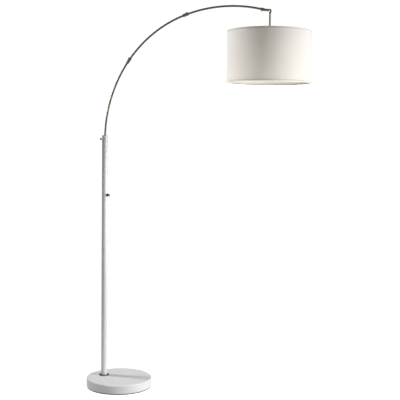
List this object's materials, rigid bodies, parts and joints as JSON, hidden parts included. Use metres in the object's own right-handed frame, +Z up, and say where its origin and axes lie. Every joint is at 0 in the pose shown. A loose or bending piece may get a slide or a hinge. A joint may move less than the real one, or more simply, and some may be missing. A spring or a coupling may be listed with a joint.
{
  "type": "arc floor lamp",
  "caption": "Arc floor lamp: weighted round base, white pole with a rotary switch, bent brass arm that swivels and slides, and a hanging drum shade that tilts.",
  "frame": {"origin": "centre of the round base on the floor, at the underside of its pad", "axes": "+Z up along the pole, +X the way the arm reaches, +Y to its left; pole, arm and rod lie in the plane y = 0"},
  "size_m": [1.1706, 0.4064, 1.9511],
  "materials": {
    "white_enamel": "gloss white baked enamel",
    "antique_brass": "aged brass, satin with a darker brown tone in the recesses",
    "polished_brass": "polished brass",
    "dark_bronze": "dark bronze, satin",
    "cast_iron": "bare grey casting",
    "pad_rubber": "matt black",
    "grommet_rubber": "white rubber",
    "zinc_steel": "zinc plated",
    "white_wire": "white powder coat",
    "linen": "white linen weave",
    "shade_liner": "white styrene, matt",
    "socket_metal": "aged brass, satin",
    "socket_plastic": "black phenolic",
    "contact_brass": "bare brass",
    "frosted_glass": "soft white frosted",
    "bulb_aluminium": "bare",
    "bush_plastic": "black acetal",
    "lead_sheath": "white PVC sheath"
  },
  "bodies": {
    "stand": {"base_cover": "white_enamel", "base_weight": "cast_iron", "base_pad": "pad_rubber", "cord_grommet": "grommet_rubber", "foot_ring": "antique_brass", "base_nipple": "zinc_steel", "base_washer": "zinc_steel", "base_nut": "zinc_steel", "pole_lower": "white_enamel", "pole_middle": "white_enamel", "pole_upper": "white_enamel", "pole_foot_plug": "zinc_steel", "pole_coupler_lower": "zinc_steel", "pole_coupler_upper": "zinc_steel", "pole_cap": "white_enamel", "pole_lead": "lead_sheath", "switch_body": "socket_plastic", "switch_collar": "dark_bronze"},
    "bush": {"arm_bush": "bush_plastic"},
    "thumb_screw": {"thumb_screw": "polished_brass"},
    "switch_knob": {"switch_knob": "polished_brass", "switch_spindle": "zinc_steel"},
    "arm": {"arc_lower": "antique_brass", "arc_middle": "antique_brass", "arc_upper": "antique_brass", "arm_stop_ring": "antique_brass", "coupling_lower": "antique_brass", "coupling_upper": "antique_brass", "coupling_screws": "antique_brass", "arc_ferrules": "zinc_steel", "end_collar": "antique_brass", "end_screw": "polished_brass", "end_fitting": "antique_brass", "knuckle_pin": "polished_brass", "arm_lead": "lead_sheath"},
    "tilt_nut": {"tilt_nut": "polished_brass"},
    "head": {"knuckle_tongue": "antique_brass", "drop_rod": "antique_brass", "rod_lead": "lead_sheath", "spider_nuts": "zinc_steel", "shade_spider": "white_wire", "socket_cap": "socket_metal", "socket_shell": "socket_plastic", "socket_thread": "contact_brass", "socket_contact": "contact_brass", "bulb_globe": "frosted_glass", "bulb_base": "bulb_aluminium", "shade_fabric": "linen", "shade_lining": "shade_liner", "shade_trim_top": "linen", "shade_trim_bottom": "linen", "shade_ring_top": "white_wire", "shade_ring_bottom": "white_wire"}
  },
  "joints": [
    {"name": "arm_swivel", "type": "hinge", "parent": "stand", "child": "bush", "pos_m": [-0.09, 0, 1.298], "axis": [0, 0, 1], "range_deg": [-170, 170]},
    {"name": "arm_height", "type": "slide", "parent": "bush", "child": "arm", "axis": [0, 0, 1], "range_m": [0, 0.2]},
    {"name": "thumb_screw_turn", "type": "hinge", "parent": "stand", "child": "thumb_screw", "pos_m": [-0.12, 0, 1.295], "axis": [-1, 0, 0], "range_deg": [0, 360]},
    {"name": "switch_turn", "type": "hinge", "parent": "stand", "child": "switch_knob", "pos_m": [-0.06102, -0.00776, 1.004], "axis": [0.9659, -0.2588, 0], "continuous": true},
    {"name": "shade_tilt", "type": "hinge", "parent": "arm", "child": "head", "pos_m": [0.79522, 0, 1.91342], "axis": [0, 1, 0], "range_deg": [-40, 25]},
    {"name": "tilt_nut_turn", "type": "hinge", "parent": "arm", "child": "tilt_nut", "pos_m": [0.79522, 0.009, 1.91342], "axis": [0, 1, 0], "range_deg": [0, 360]}
  ]
}
